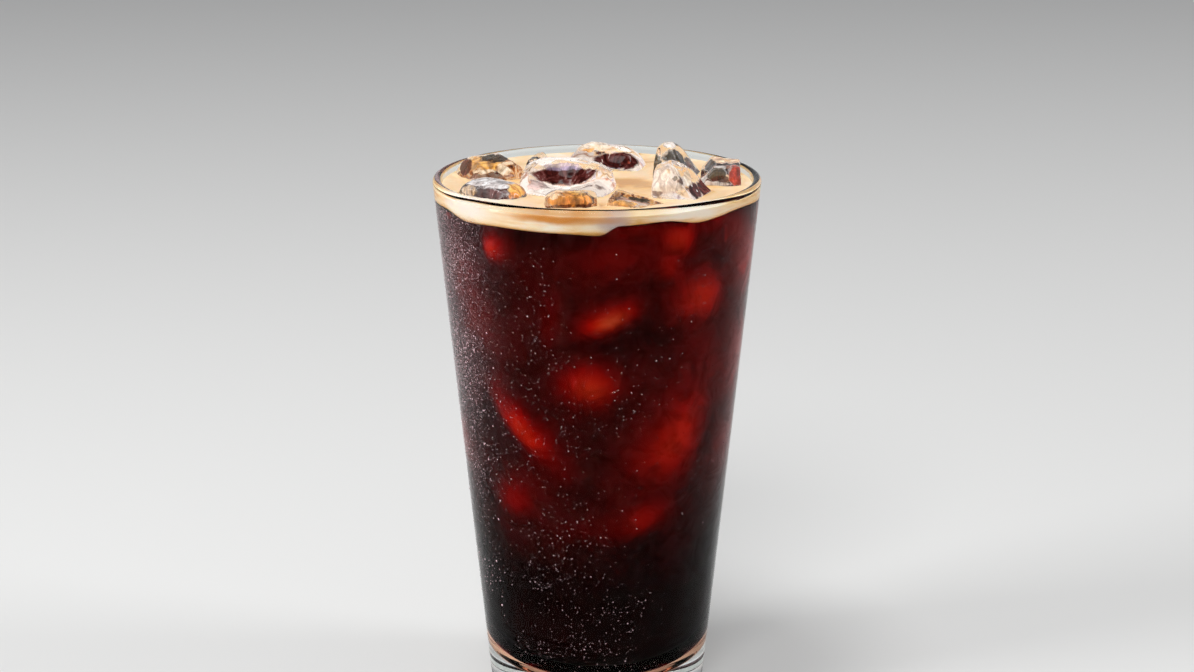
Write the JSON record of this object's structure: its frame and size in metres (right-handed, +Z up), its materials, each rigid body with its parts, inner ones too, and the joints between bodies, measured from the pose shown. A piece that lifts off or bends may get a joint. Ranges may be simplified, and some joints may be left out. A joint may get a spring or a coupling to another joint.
{
  "type": "iced cold brew coffee in a pint glass",
  "caption": "Tapered clear pint glass filled to the brim with dark cold brew coffee, a thin cream-coloured foam and chunks of ice that break the surface.",
  "frame": {"origin": "centre of the glass's underside, on the table", "axes": "+Z up along the glass's axis. -Y faces the viewer of the picture, where the foam dips lowest"},
  "size_m": [0.0888, 0.0888, 0.1564],
  "materials": {
    "clear_glass": "smooth clear glass with fine condensation",
    "coffee": "dark clear liquid",
    "foam": "pale fine foam",
    "ice": "wet half-melted ice"
  },
  "bodies": {
    "root": {"glass": "clear_glass", "coffee": "coffee", "foam": "foam", "ice_left_back": "ice", "ice_left_front": "ice", "ice_centre": "ice", "ice_front": "ice", "ice_back": "ice", "ice_right_back": "ice", "ice_right_front": "ice", "ice_right": "ice", "ice_wedge": "ice", "ice_shard": "ice"}
  },
  "joints": []
}
